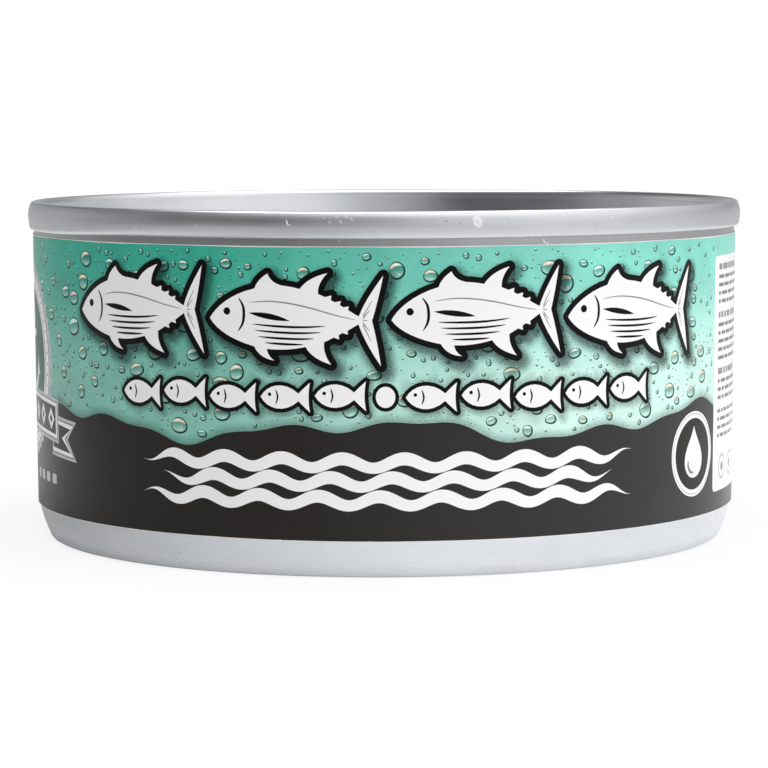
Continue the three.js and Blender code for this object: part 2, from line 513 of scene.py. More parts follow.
# and in grey: the line of the side, and the rays of the tail
big_fine = [line([(-5.0, 1.5), (-3.0, 1.72), (-0.6, 1.6), (2.0, 1.15), (4.6, 0.5), (6.9, 0.05)], 0.06, 3)]
for k in range(5):
    a = math.radians(36 - 18 * k)
    big_fine.append(stroke([(7.8, 0.9 * math.sin(a)), (8.25 + 0.75 * abs(math.sin(a)), 3.7 * math.sin(a))], [0.07, 0.03]))

# ---- the small fish, 5 mm long, facing left
SMALL = path(
    (-2.75, 0.0),
    [
        ("C", -2.1, 1.2, -0.3, 1.75, 1.25, 0.38),
        ("Q", 1.8, 0.95, 2.45, 1.5),
        ("Q", 2.15, 0.0, 2.45, -1.5),
        ("Q", 1.8, -0.95, 1.25, -0.38),
        ("C", -0.3, -1.75, -2.1, -1.2, -2.75, 0.0),
    ],
    8,
)
SMALL_BORDER = 0.4
small_field = Field([SMALL], 1.6, 0.06)
small_border = max(small_field.contour(SMALL_BORDER, 0.006), key=len)
small_marks = [
    ellipse(-1.78, 0.26, 0.19, 0.19, 9),
    line([(-1.12, 0.75), (-0.93, 0.0), (-1.12, -0.72)], 0.07),
]

# ---- where the shapes lie
big_places = []
for mid in FRONTS:
    for k in range(4):
        big_places.append((mid - 30.9 + 20.7 * k, 25.05 + (0.3, -0.25, 0.25, -0.2)[k], (1.0, 1.01, 0.99, 1.0)[k],
                           math.radians((1.0, -1.6, 1.4, -1.0)[k])))
small_places, dot_places = [], []
for mid in FRONTS:
    dot_places.append((mid + 0.1, 16.1))
    for k in range(5):
        small_places.append((mid - 4.75 - 6.25 * k, 16.05 + 0.2 * math.sin(k * 2.3 + 1), 1.1))
        small_places.append((mid + 5.35 + 6.25 * k, 16.05 + 0.2 * math.sin(k * 2.1), 1.1))


def hill(u):
    """Upper edge of the dark field: a long low swell with smaller ones on it."""
    u = np.asarray(u, float)
    return (12.15 + 1.0 * np.sin(2 * np.pi * (u + 12.5) / 45.0) + 0.62 * np.sin(2 * np.pi * (u - 3) / 19.3 + 0.8)
            + 0.3 * np.sin(2 * np.pi * u / 9.1 + 2.0))


# ---- colours of the print, as linear light
def srgb(r, g, b):
    return tuple((c / 255 / 12.92) if c <= 10.31 else ((c / 255 + 0.055) / 1.055) ** 2.4 for c in (r, g, b))


INK_BLACK = srgb(2, 2, 2)
INK_DARK = srgb(38, 34, 31)
INK_WHITE = srgb(243, 242, 243)
PAPER = srgb(232, 230, 226)
GREY_PALE = srgb(196, 194, 198)
GREY_MID = srgb(140, 138, 142)
GREY_TEXT = srgb(120, 120, 124)
CREAM = srgb(240, 224, 190)
PEACH = srgb(238, 208, 192)
MINT = srgb(214, 240, 232)
# the teal field runs from a deep green at a face's left to a pale mint at its right, and pales downwards
TEAL_TOP = [srgb(60, 172, 150), srgb(135, 215, 200)]
TEAL_LOW = [srgb(135, 195, 180), srgb(205, 240, 230)]
TEAL_AT = [-20.0, 20.0]
# the dark field greys a little towards the right of each face: a painted reflection of the bright light on that side
DARK_INK_AND_REFLECTION = [srgb(38, 35, 33), srgb(58, 57, 57)]
DARK_REFLECTION_AT = [-10.0, 40.0]


def teal(u, v):
    """Colour of the printed water at a point of the label."""
    u = np.asarray(u, float)
    v = np.asarray(v, float)
    near = np.where(u > -62, u, np.where(u > -172, u + 121.0, u + 242))
    side = np.where((u > -79) & (u <= -42), 1.0, 0.0)
    out = np.zeros(u.shape + (3,))
    t = smooth((30.5 - v) / 15.5)
    for c in range(3):
        top = np.interp(near, TEAL_AT, [k[c] for k in TEAL_TOP])
        low = np.interp(near, TEAL_AT, [k[c] for k in TEAL_LOW])
        out[..., c] = top + (low - top) * t
    return out


def dark(u):
    """Colour of the dark field at a point of the label, with its painted reflection greying it towards each face's
    right.
    """
    u = np.asarray(u, float)
    near = np.where(u > -62, u, np.where(u > -172, u + 121.0, u + 242))
    return np.stack([np.interp(near, DARK_REFLECTION_AT, [k[c] for k in DARK_INK_AND_REFLECTION]) for c in range(3)], -1)


def shadow(u, v):
    """How dark the printed soft shadow is, 0 to 1."""
    u = np.asarray(u, float)
    v = np.asarray(v, float)
    s = np.zeros(u.shape)
    for x, y, k, turn in big_places:
        near = (np.abs(u - x) < 14) & (np.abs(v - y) < 9)
        if near.any():
            du, dv = u[near] - x - SHADE_DX, v[near] - y - SHADE_DY
            c, n = math.cos(-turn), math.sin(-turn)
            d = big_field.at((c * du - n * dv) / k, (n * du + c * dv) / k)
            s[near] = np.maximum(s[near], 0.85 * (1 - smooth((d - 0.4) / SHADE_REACH)))
    for x, y, k in small_places:
        near = (np.abs(u - x) < 4.2) & (np.abs(v - y) < 3)
        if near.any():
            d = small_field.at((u[near] - x - 0.12) / k, (v[near] - y + 0.16) / k)
            s[near] = np.maximum(s[near], 0.6 * (1 - smooth((d - 0.3) / 0.7)))
    edge = v - hill(u)
    s = np.maximum(s, 0.5 * (1 - smooth(edge / 1.1)) * (edge > -0.3))
    return s


# ---- layers of shapes, lowest first. Each has a polygon and a way to colour its corners.
layers = []  # (polygon, kind, data)


def add(shape, kind, data=None):
    layers.append(([(float(x), float(y)) for x, y in shape], kind, data))


def flat(colour, mottle=0.0):
    return ("flat", (colour, mottle))


add(box_shape(U0, 0, U1, LABEL_H), "water")

# droplets
drops = []


def blocked(u, v, r):
    if v - r < hill(u) + 0.2 or v + r > LABEL_H - 0.3:
        return True
    if 48.3 - r < u or u < U0 + 1 + r:
        return True
    for x, y, q in drops:
        if abs(x - u) < 3 and math.hypot(x - u, y - v) < (q + r) * 1.12 + 0.05:
            return True
    return False


def hidden(u, v, r):
    """True where a drop would lie wholly under the white shapes."""
    for x, y, k, turn in big_places:
        if abs(u - x) < 13 and abs(v - y) < 7:
            c, n = math.cos(-turn), math.sin(-turn)
            du, dv = u - x, v - y
            d = float(big_field.at(np.array(c * du - n * dv), np.array(n * du + c * dv)))
            if d < BIG_BORDER - r * 0.4:
                return True
    for x, y, k in small_places:
        if abs(u - x) < 4 and abs(v - y) < 2.6 and float(small_field.at(np.array(u - x), np.array(v - y))) < SMALL_BORDER - r * 0.3:
            return True
    return False


SIZES = ((74, 0.8, 1.15), (160, 0.45, 0.8), (420, 0.24, 0.42), (900, 0.12, 0.22))
for count, r0, r1 in SIZES:
    placed = tries = 0
    while placed < count and tries < count * 14:
        tries += 1
        u = RND.uniform(U0 + 2, 48.0)
        v = RND.uniform(9.5, LABEL_H - 0.4)
        r = lerp(r0, r1, RND.random() ** 1.6)
        if not blocked(u, v, r * 1.15) and not hidden(u, v, r):
            drops.append((u, v, r))
            placed += 1


def crescent(u, v, rx, ry, lean, thick):
    """The bright sickle under a drop's upper edge."""
    c, n = math.cos(lean), math.sin(lean)
    up = [(rx * math.cos(a), ry * math.sin(a)) for a in np.linspace(math.radians(22), math.radians(168), 9)]
    (xa, ya), (xb, yb) = up[-1], up[0]
    low = [(lerp(xa, xb, t), lerp(ya, yb, t) + (ry * (1 - thick) - max(ya, yb)) * math.sin(math.pi * t)) for t in (0.2, 0.4, 0.6, 0.8)]
    return [(u + c * x - n * y, v + n * x + c * y) for x, y in up + low]


for u, v, r in drops:
    wide = RND.uniform(0.95, 1.25) if r > 0.45 else RND.uniform(0.88, 1.12)
    rx, ry = r * wide, r / (wide**0.5)
    lean = RND.uniform(-0.25, 0.2)
    seed = RND.uniform(0, 6.28)
    wave = 0.045 if r > 0.3 else 0.0
    if r > 0.43:
        t = 0.11 + 0.04 * r  # the dark rim is thin above and thick at the lower right
        add(ellipse(u, v, rx, ry, 26, lean, wave, seed), "drop_rim")
        ix, iy, iu, iv = rx - t, ry - t, u - 0.42 * t, v + 0.5 * t
        add(ellipse(iu, iv, ix, iy, 24, lean, wave, seed), "drop_in", (iv, iy))
        glow = RND.random()
        add(crescent(iu, iv, ix * 0.95, iy * 0.96, lean + 0.12, 0.34 + 0.22 * glow), "drop_glint", CREAM if glow < 0.5 else (PEACH if glow < 0.68 else MINT))
        if r > 0.6:
            add(ellipse(iu + 0.3 * ix, iv - 0.62 * iy, 0.2 * ix, 0.09 * iy, 8, 0.45), "drop_pale")
            add(ellipse(iu - 0.1 * ix, iv + 0.72 * iy, 0.26 * ix, 0.1 * iy, 8, 0.1), "drop_glint", (0.95, 0.95, 0.9))
    elif r > 0.22:
        add(ellipse(u, v, rx, ry, 16, lean, wave, seed), "drop_rim")
        add(ellipse(u - 0.035, v + 0.06, rx - 0.085, ry - 0.075, 14, lean), "drop_in", (v + 0.05, ry))
        add(ellipse(u - 0.22 * rx, v + 0.52 * ry, 0.42 * rx, 0.26 * ry, 8, 0.25), "drop_glint", ((0.8, 0.78, 0.7), PEACH, MINT, MINT)[RND.randrange(4)])
    else:
        add([(u - rx, v + 0.35 * ry), (u - 0.45 * rx, v - 0.65 * ry), (u + 0.1 * rx, v - ry),
             (u + 0.7 * rx, v - 0.55 * ry), (u + rx, v + 0.4 * ry), (u + 0.35 * rx, v - 0.1 * ry), (u - 0.3 * rx, v - 0.12 * ry)], "drop_speck")
        if r > 0.14:
            add(ellipse(u, v + 0.45 * ry, 0.5 * rx, 0.35 * ry, 6), "drop_pale")

# dark field
us = np.arange(U0, U1 + 0.2, 0.45)
us[-1] = U1
add([(U0, 0), (U1, 0)] + [(float(u), float(hill(u))) for u in us[::-1]], "field")

# side badge, left of the front: a seal with an anchor, and a ribbon with forked ends across it
OX, OY = -61.7, 17.6
SEAL_TEAL = srgb(30, 92, 88)
add([(OX + (11.55 + 0.28 * math.cos(40 * a)) * math.cos(a), OY + (11.55 + 0.28 * math.cos(40 * a)) * math.sin(a))
     for a in np.linspace(0, 2 * math.pi, 241)[:-1]], *flat(GREY_PALE))
for radius, ink in ((10.75, GREY_MID), (10.5, INK_WHITE), (9.3, GREY_MID), (9.05, INK_WHITE), (8.6, SEAL_TEAL)):
    add(ellipse(OX, OY, radius, radius, 84), *flat(ink, 0.3 if ink == SEAL_TEAL else 0.0))
for k in range(48):
    a = 2 * math.pi * k / 48
    add(ellipse(OX + 9.92 * math.cos(a), OY + 9.92 * math.sin(a), 0.2, 0.2, 8), *flat(GREY_MID))
anchor = [
    box_shape(-0.5, -4.6, 0.5, 3.0),
    box_shape(-2.9, 1.5, 2.9, 2.4, 0.4),
    stroke([(5.0 * math.cos(a), -0.2 + 5.0 * math.sin(a)) for a in np.radians(np.linspace(202, 338, 25))],
           0.3 + 0.28 * np.sin(np.linspace(0, math.pi, 25)) ** 0.5),
    [(-5.6, -2.9), (-3.7, -3.0), (-4.55, -0.6)],
    [(3.7, -3.0), (5.6, -2.9), (4.55, -0.6)],
    ellipse(0, 4.3, 1.5, 1.5, 26),
]
for a in anchor:
    add(moved(a, OX, OY + 1.3), *flat(INK_WHITE))
add(ellipse(OX, OY + 5.6, 0.8, 0.8, 20), *flat(SEAL_TEAL, 0.3))


def ribbon(x0, x1, y0, y1, bow, n=16):
    """A banner between x0 and x1 that bows upwards in the middle."""
    xs = np.linspace(x0, x1, n)
    lift = bow * (1 - ((xs - OX) / 19.0) ** 2)
    return [(x, y0 + b) for x, b in zip(xs, lift)] + [(x, y1 + b) for x, b in zip(xs[::-1], lift[::-1])]


for side in (-1, 1):
    for grow, ink in ((0.0, GREY_PALE), (0.3, GREY_MID), (0.5, INK_WHITE), (0.95, INK_DARK)):
        a, b = 11.6 + grow * 0.3, 18.9 - grow * 1.6
        tail = [(a, 7.0 + grow), (b, 7.0 - 0.35 + grow), (b - 2.3 - grow * 0.2, 9.2), (b, 11.7 - 0.35 - grow), (a, 11.9 - grow)]
        tail = [(OX + side * x, y) for x, y in tail]
        add(tail if poly_area(tail) > 0 else tail[::-1], *flat(ink))
for grow, ink in ((0.0, GREY_PALE), (0.3, GREY_MID), (0.5, INK_WHITE), (0.95, INK_DARK)):
    add(ribbon(OX - 13.8 + grow, OX + 13.8 - grow, 7.9 + grow, 13.1 - grow, 1.1), *flat(ink))
for k in range(-3, 4):
    x, lift = OX + 3.7 * k, 1.1 * (1 - (3.7 * k / 19.0) ** 2)
    c = 10.5 + lift
    add([(x - 1.25, c), (x, c - 1.35), (x + 1.25, c), (x, c + 1.35)], *flat(INK_WHITE))
    add([(x - 0.55, c), (x, c - 0.6), (x + 0.55, c), (x, c + 0.6)], *flat(INK_DARK))
for k in range(4):  # four short bars on the dark field under it
    add(box_shape(OX + 3.4 + 2.6 * k, 3.5, OX + 5.0 + 2.6 * k, 4.7, 0.3), *flat(GREY_PALE))

# side panel, right of the front: white, with rows of grey dashes and a ruled table of dashes
add(box_shape(48.7, 2.3, 96.0, 30.3, 0.7), *flat(INK_WHITE))


def dashes(x0, x1, y, h, ink, rnd):
    x = x0
    while x < x1 - 0.5:
        w = min(rnd.uniform(0.7, 2.6), x1 - x)
        add(box_shape(x, y - h / 2, x + w, y + h / 2), *flat(ink))
        x += w + rnd.uniform(0.35, 0.5)


rp = random.Random(77)
y = 29.0
for k, (n, bold) in enumerate(((1, 1), (4, 0), (1, 1), (5, 0), (1, 1), (3, 0), (4, 0))):
    for i in range(n):
        last = i == n - 1 and not bold
        dashes(50.2, 50.2 + (rp.uniform(8, 12) if bold else (rp.uniform(9, 16) if last else 20.0)), y, 0.72 if bold else 0.42, GREY_MID if bold else GREY_TEXT, rp)
        y -= 1.18 if bold else 0.98
    y -= 0.62 if k % 2 else 0.0
# a ruled table
TX0, TX1, TY0, TY1 = 73.0, 93.6, 10.2, 29.2
add(box_shape(TX0, TY0, TX1, TY1), *flat(INK_BLACK))
add(box_shape(TX0 + 0.2, TY0 + 0.2, TX1 - 0.2, TY1 - 0.2), *flat(INK_WHITE))
dashes(TX0 + 0.9, TX0 + 12.5, TY1 - 1.35, 1.05, INK_BLACK, rp)
add(box_shape(TX0 + 0.8, TY1 - 2.75, TX1 - 0.8, TY1 - 2.3), *flat(INK_BLACK))
y = TY1 - 3.65
while y > TY0 + 1.0:
    dashes(TX0 + 0.9, TX0 + 0.9 + rp.uniform(5, 9), y, 0.5, GREY_TEXT, rp)
    dashes(TX1 - 3.4, TX1 - 0.9, y, 0.5, GREY_TEXT, rp)
    add(box_shape(TX0 + 0.8, y - 0.74, TX1 - 0.8, y - 0.66), *flat(GREY_MID))
    y -= 1.42
# plain upright bars
x = 74.2
while x < 92.2:
    w = rp.choice((0.25, 0.25, 0.5, 0.75))
    add(box_shape(x, 3.3, x + w, 8.7), *flat(INK_BLACK))
    x += w + rp.choice((0.3, 0.3, 0.55, 0.8))
for k in range(4):
    add(ellipse(52.4 + 4.4 * k, 5.1, 1.6, 1.6, 26), *flat(GREY_PALE))
    add(ellipse(52.4 + 4.4 * k, 5.1, 1.15, 1.15, 22), *flat(INK_WHITE))
    add(ellipse(52.4 + 4.4 * k, 5.1, 0.55, 0.55, 14), *flat(GREY_MID))

# round badge at the right of the front: a ring with a drop in it
BX, BY, BR = 42.95, 7.5, 5.0
for radius, ink in ((BR, INK_WHITE), (BR - 0.2, GREY_PALE), (BR - 0.36, INK_WHITE), (BR - 0.8, INK_DARK)):
    add(ellipse(BX, BY, radius, radius, 60), *flat(ink))
badge_drop = path((0, 3.3), [("C", 0.5, 1.9, 2.15, 0.75, 2.15, -0.75), ("C", 2.15, -2.0, 1.15, -2.8, 0, -2.8),
                             ("C", -1.15, -2.8, -2.15, -2.0, -2.15, -0.75), ("C", -2.15, 0.75, -0.5, 1.9, 0, 3.3)], 10)
add(moved(badge_drop, BX, BY), *flat(INK_WHITE))
add(moved(line([(-1.35, -0.6), (-1.3, -1.45), (-0.75, -2.05), (0.05, -2.2)], 0.2), BX, BY), *flat(GREY_MID))

# waves on the dark field: three swelling lines
for mid in FRONTS:
    for k, (half_len, y) in enumerate(((30.2, 8.75), (27.2, 6.65), (30.2, 4.55))):
        xs = np.linspace(-half_len, half_len, int(half_len * 7))
        t = (xs + half_len) / (2 * half_len)
        width = 0.72 * smooth(np.minimum(t, 1 - t) * 9 + 0.03) * (0.93 + 0.07 * np.sin(xs * 0.9 + k))
        add(stroke([(mid + 0.45 + a, y + 0.52 * math.sin(2 * math.pi * a / 6.9 + 1.25 * k)) for a in xs], width), *flat(INK_WHITE))

# small fish and the dot between them
for u, v, k in small_places:
    add(moved(small_border, u, v, k, k), *flat(INK_BLACK))
    add(moved(SMALL, u, v, k, k), *flat(INK_WHITE))
    for m in small_marks:
        add(moved(m, u, v, k, k), *flat(INK_BLACK))
for u, v in dot_places:
    add(ellipse(u, v, 1.5, 1.6, 30), *flat(INK_BLACK))
    add(ellipse(u, v, 1.08, 1.18, 26), *flat(INK_WHITE))

# big fish
for u, v, k, turn in big_places:
    add(moved(big_border, u, v, k, k, turn), *flat(INK_BLACK))
for u, v, k, turn in big_places:
    add(moved(BIG, u, v, k, k, turn), *flat(INK_WHITE))
    for m in big_marks:
        add(moved(m, u, v, k, k, turn), *flat(INK_BLACK))
    for m in big_fine:
        add(moved(m, u, v, k, k, turn), *flat(GREY_MID))

# bare paper at the cut edges: a hair line above and below, with small chips in the lower one
top = []
n = int((U1 - U0) / 0.9)
for i in range(n + 1):
    u = lerp(U0, U1, i / n)
    top.append((u, LABEL_H - 0.085 - 0.03 * math.sin(u * 0.31) - 0.025 * RND.random()))
add([(U1, LABEL_H), (U0, LABEL_H)] + top, *flat(PAPER))
low = [(U0, 0.045)]
u = U0 + 1.5
while u < U1 - 2:
    step = RND.expovariate(1 / 4.5) + 0.5
    if RND.random() < 0.75:
        low.append((u, 0.045 + 0.035 * RND.random()))
    else:
        w, h = RND.uniform(0.12, 0.5), RND.uniform(0.07, 0.16)
        low += [(u, 0.05), (u + w * 0.25, h * RND.uniform(0.6, 1)), (u + w * 0.7, h), (u + w, 0.05)]
        u += w
    u += step
low += [(U1, 0.045), (U1, 0.0), (U0, 0.0)]
low = low[::-1]
add(low if poly_area(low) > 0 else low[::-1], *flat(PAPER))

# ---- cut all of it into one flat mesh
pts, polys, edges = [], [], []
for shape, kind, data in layers:
    base = len(pts)
    pts += shape
    polys.append(list(range(base, base + len(shape))))
columns = int(round((U1 - U0) / (RL * math.radians(1.5))))
for i in range(1, columns):
    u = lerp(U0, U1, i / columns)
    base = len(pts)
    pts += [(u, 0.0), (u, LABEL_H)]
    edges.append((base, base + 1))
for v in list(np.arange(12.0, LABEL_H - 0.3, 1.7)) + [3.0, 6.0, 9.0]:
    base = len(pts)
    pts += [(U0, float(v)), (U1, float(v))]
    edges.append((base, base + 1))


def add_lines(loops, place, skip):
    for loop in loops:
        q = moved(loop, *place)
        q = [(min(max(x, U0 + 0.01), U1 - 0.01), min(max(y, 0.01), LABEL_H - 0.01)) for x, y in q]
        b = len(pts)
        pts.extend(q)
        for i in range(len(q)):
            a, c = q[i], q[(i + 1) % len(q)]
            m = ((a[0] + c[0]) / 2, (a[1] + c[1]) / 2)
            if not skip(m) and math.hypot(a[0] - c[0], a[1] - c[1]) > 1e-4:
                edges.append((b + i, b + (i + 1) % len(q)))


for u, v, k, turn in big_places:
    def under(m, u=u, v=v, k=k, turn=turn):
        if m[1] < hill(m[0]) + 0.1 or m[1] > LABEL_H - 0.3:
            return True
        c, n = math.cos(-turn), math.sin(-turn)
        du, dv = m[0] - u, m[1] - v
        return float(big_field.at(np.array(c * du - n * dv), np.array(n * du + c * dv))) < BIG_BORDER + 0.03

    for loops in shade_levels:
        add_lines(loops, (u + SHADE_DX, v + SHADE_DY, k, k, turn), under)
fade = [(float(a), float(hill(a)) + 0.55) for a in us]
b = len(pts)
pts += fade
edges += [(b + i, b + i + 1) for i in range(len(fade) - 1)]
fade = [(float(a), float(hill(a)) + 1.15) for a in us]
b = len(pts)
pts += fade
edges += [(b + i, b + i + 1) for i in range(len(fade) - 1)]

flat_v, _, flat_f, _, _, from_face = delaunay_2d_cdt([Vector(p) for p in pts], edges, polys, 1, 1e-5, True)
flat_v = np.array([(v.x, v.y) for v in flat_v])
flat_v[:, 0] = np.clip(flat_v[:, 0], U0, U1)
flat_v[:, 1] = np.clip(flat_v[:, 1], 0, LABEL_H)
flat_f = [list(f) for f in flat_f]
top_layer = [max(s) if s else 0 for s in from_face]
area = np.array([poly_area([flat_v[i] for i in f]) for f in flat_f])
good = np.abs(area) > 1e-9
print("label: %d points, %d triangles, %d thin ones left out" % (len(flat_v), len(flat_f), int((~good).sum())))


# ---- roll it round the can
def outer_radius(u, v):
    z = LABEL_BOTTOM + v
    lift = 0.115 * smooth((u - (U1 - FLAP - 3.5)) / 3.2)
    return wall_radius(z) + GAP + LABEL_T + lift


def rolled(u, v, r):
    a = u / RL
    return np.c_[r * np.sin(a) * MM, -r * np.cos(a) * MM, (LABEL_BOTTOM + v) * MM]


outer = rolled(flat_v[:, 0], flat_v[:, 1], outer_radius(flat_v[:, 0], flat_v[:, 1]))
edge_use = {}
for f in flat_f:
    for i in range(len(f)):
        a, b = f[i], f[(i + 1) % len(f)]
        edge_use[(a, b)] = edge_use.get((a, b), 0) + 1
border = [(a, b) for (a, b) in edge_use if (b, a) not in edge_use]
rim_ids = sorted({a for e in border for a in e})
inner_of = {v: len(flat_v) + i for i, v in enumerate(rim_ids)}
ru, rv = flat_v[rim_ids, 0], flat_v[rim_ids, 1]
inner = rolled(ru, rv, outer_radius(ru, rv) - LABEL_T)
verts = np.vstack([outer, inner])
faces = [list(f) for f in flat_f]
kinds = ["out"] * len(faces)
for a, b in border:
    faces.append([b, a, inner_of[a], inner_of[b]])
    kinds.append("edge")
# the back of the paper: a strip between its lower and upper edges
low = sorted([i for i in rim_ids if flat_v[i, 1] < 1e-4], key=lambda i: flat_v[i, 0])
high = sorted([i for i in rim_ids if flat_v[i, 1] > LABEL_H - 1e-4], key=lambda i: flat_v[i, 0])
left = sorted([i for i in rim_ids if flat_v[i, 0] < U0 + 1e-4], key=lambda i: flat_v[i, 1])
right = sorted([i for i in rim_ids if flat_v[i, 0] > U1 - 1e-4], key=lambda i: flat_v[i, 1])
i = j = 0
while i < len(low) - 1 or j < len(high) - 1:
    go_low = j == len(high) - 1 or (i < len(low) - 1 and flat_v[low[i + 1], 0] <= flat_v[high[j + 1], 0])
    if go_low:
        tri = [low[i], high[j], low[i + 1]]
        i += 1
    else:
        tri = [low[i], high[j], high[j + 1]]
        j += 1
    first = low[0] in tri and high[0] in tri and i + j == 1
    last = i == len(low) - 1 and j == len(high) - 1
    loop = [inner_of[t] for t in tri]
    if first and len(left) > 2:  # the end's own points join the first and last triangles
        at = loop.index(inner_of[low[0]])
        mids = [inner_of[t] for t in left[1:-1]]
        loop = [inner_of[low[0]]] + mids + [inner_of[t] for t in tri if t != low[0]]
    faces.append(loop)
    kinds.append("back")
    if last and len(right) > 2:
        mids = [inner_of[t] for t in right[1:-1]]
        f = faces[-1]
        k = f.index(inner_of[high[-1]])
        faces[-1] = f[: k + 1] + mids[::-1] + f[k + 1 :] if f[(k + 1) % len(f)] == inner_of[low[-1]] else f[:k] + mids + f[k:]

mesh = bpy.data.meshes.new("label_print")
mesh.from_pydata(verts.tolist(), [], faces)
mesh.update()
label = bpy.data.objects.new("label_print", mesh)
bpy.context.scene.collection.objects.link(label)

# ---- colour of each corner
corner_face = np.repeat(np.arange(len(flat_f)), [len(f) for f in flat_f])
corner_vert = np.concatenate([np.array(f) for f in flat_f])
cu, cv = flat_v[corner_vert, 0], flat_v[corner_vert, 1]
layer_of = np.array(top_layer)[corner_face]
kind_of = np.array([layers[k][1] for k in range(len(layers))])[layer_of]
colour = np.zeros((len(corner_face), 4))
water = teal(cu, cv)
shade = shadow(cu, cv)
def put(kind, rgb, mottle):
    m = kind_of == kind
    colour[m, :3] = rgb[m]
    colour[m, 3] = mottle


def layer_data(kind, width):
    return np.array([layers[k][2] if layers[k][1] == kind else (0,) * width for k in range(len(layers))], float)[layer_of]


put("water", water, 1.0)
# the dark field's colour, with its painted reflection towards each face's right
put("field", dark(cu), 0.35)
put("drop_rim", water * 0.05 + np.array(srgb(4, 26, 24)), 0.3)
put("drop_speck", water * 0.16, 0.4)
put("drop_pale", water * 0.3 + 0.7 * np.array(srgb(226, 244, 238)), 0.3)
inside = layer_data("drop_in", 2)
at_height = (cv - inside[:, 0]) / np.maximum(inside[:, 1], 1e-3)
fade = smooth((0.15 - at_height) / 1.0)[:, None]
put("drop_in", (water * 0.32 + 0.36 * np.array(srgb(30, 160, 142))) * (1 - fade) + (water * 0.5 + 0.45 * np.array(srgb(205, 240, 230))) * fade, 0.4)
put("drop_glint", layer_data("drop_glint", 3), 0.2)
shade[~np.isin(kind_of, ["water", "drop_rim", "drop_speck", "drop_pale", "drop_in", "drop_glint"])] = 0.0
m = kind_of == "flat"
flats = np.array([list(layers[k][2][0]) + [layers[k][2][1]] if layers[k][1] == "flat" else (0, 0, 0, 0) for k in range(len(layers))])
colour[m] = flats[layer_of[m]]

total = len(mesh.loops)
all_colour = np.ones((total, 4), np.float32)
all_colour[: len(colour)] = colour
all_colour[len(colour) :, :3] = PAPER
all_colour[len(colour) :, 3] = 0.0
ink = mesh.attributes.new("ink", "FLOAT_COLOR", "CORNER")
ink.data.foreach_set("color", all_colour.ravel())
all_shade = np.zeros(total, np.float32)
all_shade[: len(shade)] = shade
soft = mesh.attributes.new("soft_shade", "FLOAT", "CORNER")
soft.data.foreach_set("value", all_shade)

# ---- normals: the outside is exactly round, the cut edges are sharp
mesh.polygons.foreach_set("use_smooth", [True] * len(mesh.polygons))
loop_vert = np.zeros(total, int)
mesh.loops.foreach_get("vertex_index", loop_vert)
a = np.concatenate([flat_v[:, 0], ru]) / RL
radial = np.c_[np.sin(a), -np.cos(a), np.full(len(a), -(NECK_R - WALL_FOOT_R) / 32.0)]
radial /= np.linalg.norm(radial, axis=1)[:, None]
normals = radial[loop_vert]
face_of_loop = np.repeat(np.arange(len(faces)), [len(f) for f in faces])
kinds = np.array(kinds)
face_normals = np.zeros(len(mesh.polygons) * 3)
mesh.polygons.foreach_get("normal", face_normals)
face_normals = face_normals.reshape(-1, 3)
is_edge = kinds[face_of_loop] == "edge"
normals[is_edge] = face_normals[face_of_loop[is_edge]]
is_back = kinds[face_of_loop] == "back"
normals[is_back] *= -1
mesh.normals_split_custom_set([tuple(n) for n in normals])

# ---- a map for the paper: the unrolled label in rows, one above another, and its back in a thin strip over them
uv = mesh.uv_layers.new(name="OFBake")
ROWS, EDGE, STRIP = 3, 1.6, 0.02
row_len = (U1 - U0) / ROWS
all_u = np.concatenate([flat_v[:, 0], ru])[loop_vert]
all_v = np.concatenate([flat_v[:, 1], rv])[loop_vert]
hem = is_edge & (loop_vert >= len(flat_v))  # the cut edges get a width of their own on the map
all_v = np.where(hem & (all_v < 1e-4), -0.5, np.where(hem & (all_v > LABEL_H - 1e-4), LABEL_H + 0.5, all_v))
all_u = np.where(hem & (all_u < U0 + 1e-4), U0 - 0.5, np.where(hem & (all_u > U1 - 1e-4), U1 + 0.5, all_u))
starts = np.concatenate([[0], np.cumsum([len(f) for f in faces])[:-1]])
middle = np.add.reduceat(all_u, starts) / np.array([len(f) for f in faces])
row = np.clip(((middle - U0) / row_len).astype(int), 0, ROWS - 1)[face_of_loop]
map_x = (all_u - U0 - row * row_len + EDGE) / (row_len + 2 * EDGE)
map_y = (row + 0.03 + 0.94 * all_v / LABEL_H) / ROWS * (1 - STRIP)
map_x[is_back] = ((all_u - U0) / (U1 - U0))[is_back] * 0.98 + 0.01
map_y[is_back] = 1 - STRIP * (0.75 - 0.5 * all_v[is_back] / LABEL_H)
uv.data.foreach_set("uv", np.c_[map_x, map_y].astype(np.float32).ravel())

# =========================================================================== materials
def material(name):
    m = bpy.data.materials.new(name)
    m.use_nodes = True
    t = m.node_tree
    t.nodes.clear()
    out = t.nodes.new("ShaderNodeOutputMaterial")
    bsdf = t.nodes.new("ShaderNodeBsdfPrincipled")
    t.links.new(bsdf.outputs[0], out.inputs[0])
    return m, t, bsdf


def node(t, kind, **values):
    n = t.nodes.new(kind)
    for k, v in values.items():
        if k in n.inputs:
            n.inputs[k].default_value = v
        else:
            setattr(n, k, v)
    return n


def math_node(t, op, a, b=None, clamp=False):
    n = t.nodes.new("ShaderNodeMath")
    n.operation = op
    n.use_clamp = clamp
    for i, x in enumerate((a, b)):
        if x is None:
            continue
        if isinstance(x, (int, float)):
            n.inputs[i].default_value = x
        else:
            t.links.new(x, n.inputs[i])
    return n.outputs[0]


